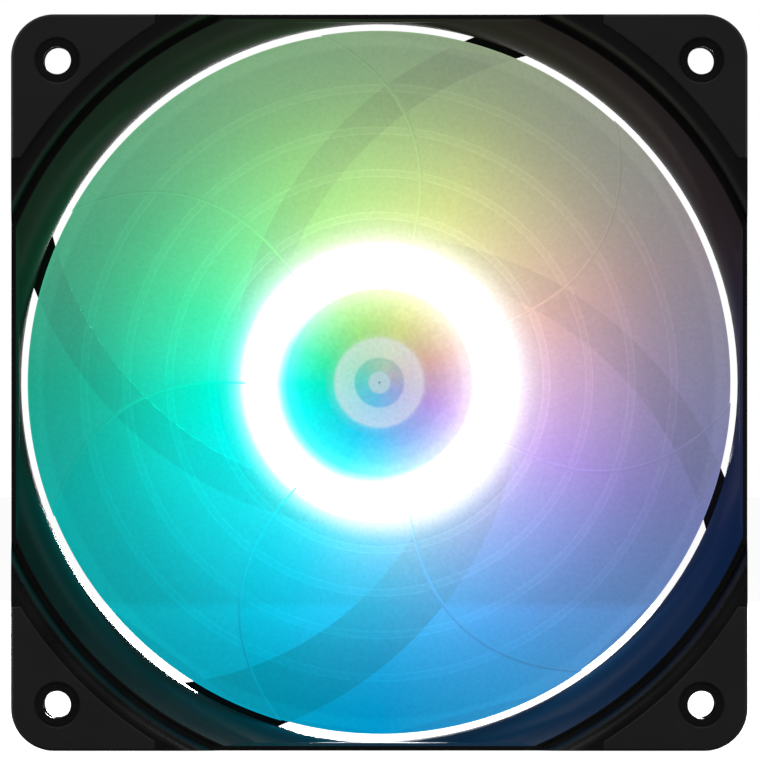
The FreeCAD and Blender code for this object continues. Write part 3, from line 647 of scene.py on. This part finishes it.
def rounded(profile, radii):
    """A profile of (radius, height) corners in mm, each rounded by its radius, in metres."""
    result = []
    for index, (corner, bend) in enumerate(zip(profile, radii)):
        here = Vector((*corner, 0))
        before = Vector((*profile[index - 1], 0)) - here
        after = Vector((*profile[(index + 1) % len(profile)], 0)) - here
        if not bend:
            result.append((here.x * MM, here.y * MM))
            continue
        steps = 2 + int(bend * 4)
        reach = bend / math.tan(before.angle(after) / 2)
        start, end = here + before.normalized() * reach, here + after.normalized() * reach
        centre = here + (before.normalized() + after.normalized()).normalized() * (
            bend / math.sin(before.angle(after) / 2)
        )
        a, b = start - centre, end - centre
        for step in range(steps + 1):
            arm = a.slerp(b, step / steps) * bend
            result.append(((centre + arm).x * MM, (centre + arm).y * MM))
    return result


def hub_profile():
    """The hub's cup from the centre of its face, round its skirt and back under its face.

    The face is dished in its middle, where a moat surrounds a small boss. A ring wall under the
    face holds the rotor's yoke."""
    side, front = HUB / MM, HUB_FRONT / MM
    boss, moat, dish = front - 0.25, front - 0.6, front - 0.3
    skirt, rear, under = 20.7, 5.3, 21.9
    wall_outside, wall_inside, wall_end = 17.2, 16.0, 9.0
    corners = [
        (0, boss), (1.8, boss), (1.8, moat), (4.0, moat), (4.0, dish), (7.1, dish), (7.4, front),
        (side, front), (side, rear), (skirt, rear), (skirt, under), (wall_outside, under),
        (wall_outside, wall_end), (wall_inside, wall_end), (wall_inside, under), (0, under),
    ]
    radii = [0, 0.15, 0.1, 0.1, 0.12, 0.1, 0.15, 2.5, 0.25, 0.25, 1.5, 0.3, 0.3, 0.1, 0, 0]
    return rounded(corners, radii)


def lit_impeller():
    """The hub and blades as one translucent moulding."""
    skin = Skin()
    skin.turned(hub_profile(), segments=192, face=HUB_FRONT - 3.5 * MM)
    for index in range(BLADES):
        add_blade(skin, index)
    material = lit_plastic("lit_plastic", frame["bodies"]["housing"])
    made = skin.piece("impeller_moulding", material, "rotor", smooth=35)
    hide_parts("impeller")


# ---------------------------------------------------------------- CAD nodes' materials


def finish_nodes():
    """Gives every node of the CAD model its material, by its slot."""
    rubber = moulded("pad_rubber", (0.0145, 0.0145, 0.0148), 0.66, 0.00003, 0.12, 1800)
    nylon = moulded("white_nylon", (0.74, 0.74, 0.71), 0.4)
    former = moulded("former_plastic", (0.70, 0.69, 0.62), 0.5)
    chip = moulded("chip_epoxy", (0.02, 0.02, 0.021), 0.5)
    ceramic = moulded("capacitor_ceramic", (0.40, 0.25, 0.13), 0.45)
    ferrite = moulded("bonded_ferrite", (0.035, 0.032, 0.031), 0.6, 0.00005)
    brass = turned_metal("turned_brass", (0.78, 0.58, 0.26), 0.3)
    bronze = turned_metal("sintered_bronze", (0.55, 0.36, 0.2), 0.48)
    steel = turned_metal("ground_steel", (0.62, 0.62, 0.63), 0.26)
    tin = turned_metal("tinned_land", (0.75, 0.75, 0.76), 0.35)
    by_slot = {
        "black_plastic": duct_plastic("black_plastic"),
        "rubber_pad": rubber,
        "label": blank_label("blank_label"),
        "brass": brass,
        "bronze": bronze,
        "white_nylon": nylon,
        "steel": steel,
        "lamination": laminations("stacked_steel"),
        "former": former,
        "board": printed_board("printed_board"),
        "chip": chip,
        "capacitor": ceramic,
        "solder": tin,
        "magnet": ferrite,
        "copper": enamelled_copper("enamelled_copper"),
    }
    for entry in frame["record"]["subparts"]:
        node = frame["nodes"][entry["node"]]
        if entry["material_slot"] in by_slot:
            for slot in node.material_slots:
                slot.material = by_slot[entry["material_slot"]]
    for index in range(LAMPS):
        node = frame["nodes"][f"lamp_{index + 1}"]
        colour = NEAR_GLOW[(index + 0.5) * 360 / LAMPS]
        for slot in node.material_slots:
            slot.material = lamp_material(f"lamp_package_{index + 1}", colour)


# ---------------------------------------------------------------- studio


def studio_floor():
    """A wide pale floor under the fan's lower edge."""
    low = FRAME_BOX[0].z - 0.0002
    skin = Skin()
    sides = 24
    for ring in range(1, 5):
        for step in range(sides):
            angle = math.tau * step / sides
            reach = 2.5 * ring
            skin.add(Vector((reach * math.cos(angle), reach * math.sin(angle), low)))
    skin.faces.append(tuple(range(sides)))
    for ring in range(3):
        for step in range(sides):
            a, b = ring * sides + step, ring * sides + (step + 1) % sides
            skin.faces.append((a, b, b + sides, a + sides))
    shader = Shader("pale_floor", roughness=0.7, specular_ior_level=0.1)
    tone = shader.remap(shader.noise(6, 2), 0.0, 1.0)
    shader.set(base_color=shader.blend(tone, (0.2, 0.2, 0.2), (0.22, 0.22, 0.22)))
    seen = shader.node("LightPath").outputs["Is Camera Ray"]
    shader.set(
        emission_color=(1.0, 1.0, 1.0),
        emission_strength=shader.remap(seen, 0.1, 0.95, 0, 1),
    )
    skin.piece("studio_floor", shader.material, None)


def soft_box(name, place, size, power):
    """A rectangular light that looks at the origin and isn't seen itself."""
    data = bpy.data.lights.new(name, "AREA")
    data.shape = "RECTANGLE"
    data.size, data.size_y = size
    data.energy = power
    light = bpy.data.objects.new(name, data)
    light.location = place
    light.visible_camera = False
    light.rotation_euler = (-Vector(place)).to_track_quat("-Z", "Y").to_euler()
    bpy.context.scene.collection.objects.link(light)


def studio_light():
    """Soft boxes before, above and behind, in a dim room whose walls look white."""
    world = bpy.data.worlds.new("studio")
    world.use_nodes = True
    nodes = Nodes(world.node_tree)
    seen = nodes.node("LightPath").outputs["Is Camera Ray"]
    background = nodes.tree.nodes["Background"]
    nodes.plug((1.0, 1.0, 1.0), background.inputs["Color"])
    nodes.plug(nodes.remap(seen, 0.05, 1.0, 0, 1), background.inputs["Strength"])
    bpy.context.scene.world = world
    bpy.context.scene.view_settings.view_transform = "Standard"
    soft_box("front_box", (0.0, -1.8, 1.6), (1.2, 0.9), 30)
    soft_box("top_box", (0.0, -0.2, 1.1), (0.8, 0.2), 4)
    soft_box("left_box", (-1.5, 0.1, 0.3), (0.25, 1.0), 22)
    soft_box("right_box", (1.5, 0.1, 0.3), (0.25, 1.0), 16)
    soft_box("back_box", (0.3, 3.0, 0.5), (0.5, 0.4), 60)


def camera():
    """A long lens, square on to the inlet."""
    data = bpy.data.cameras.new("camera")
    data.sensor_width = 36
    data.lens = data.sensor_width * CAMERA_DISTANCE / VIEW_WIDTH
    data.clip_start, data.clip_end = 0.05, 50
    made = bpy.data.objects.new("camera", data)
    made.location = (CAMERA_SIDE, FRAME_BOX[0].y - CAMERA_DISTANCE, CAMERA_UP)
    made.rotation_euler = (math.pi / 2, 0, 0)
    bpy.context.scene.collection.objects.link(made)
    bpy.context.scene.camera = made


finish_nodes()
lit_impeller()
studio_floor()
studio_light()
camera()
